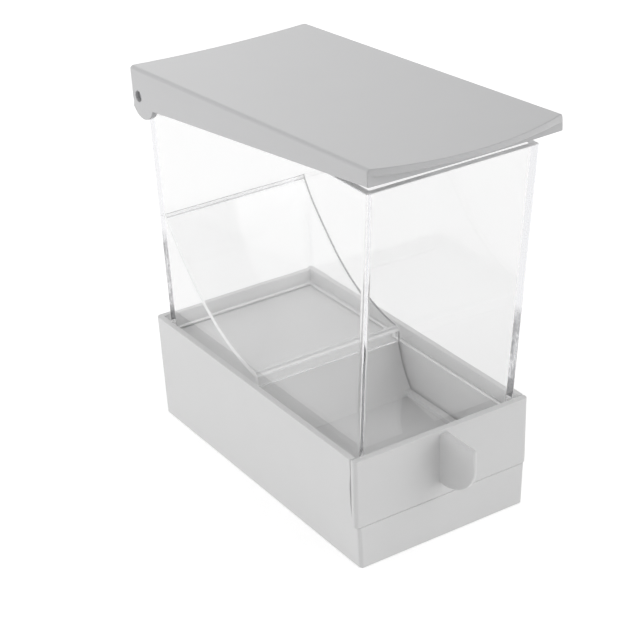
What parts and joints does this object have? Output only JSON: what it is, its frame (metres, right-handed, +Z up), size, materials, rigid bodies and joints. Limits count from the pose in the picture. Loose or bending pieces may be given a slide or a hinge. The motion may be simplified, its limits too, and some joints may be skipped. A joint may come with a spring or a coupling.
{
  "type": "cotton pad dispenser",
  "caption": "Countertop dispenser with a clear ramped hopper under a hinged lid, on a grey base with a pull-out drawer that hands out small cotton pads.",
  "frame": {"origin": "centre of the base's flat underside, on the surface that the dispenser stands on", "axes": "+Z up, -Y towards the drawer's pull tab and the lid's finger lip, +X to the right of someone facing that front"},
  "size_m": [0.0636, 0.129, 0.1259],
  "materials": {
    "grey_plastic": "light grey moulded plastic, satin",
    "lid_plastic": "light grey moulded plastic, fine satin on top",
    "clear_plastic": "clear moulded plastic, polished",
    "pin_steel": "plain pin end, dark in its hole"
  },
  "bodies": {
    "housing": {"base_housing": "grey_plastic", "hopper": "clear_plastic", "ramp": "clear_plastic", "hinge_pin_left": "pin_steel", "hinge_pin_right": "pin_steel"},
    "drawer": {"drawer": "grey_plastic"},
    "lid": {"lid": "lid_plastic"}
  },
  "joints": [
    {"name": "drawer_slide", "type": "slide", "parent": "housing", "child": "drawer", "axis": [0, -1, 0], "range_m": [0, 0.047]},
    {"name": "lid_hinge", "type": "hinge", "parent": "housing", "child": "lid", "pos_m": [0, 0.0544, 0.1096], "axis": [-1, 0, 0], "range_deg": [-3.3, 115]}
  ]
}
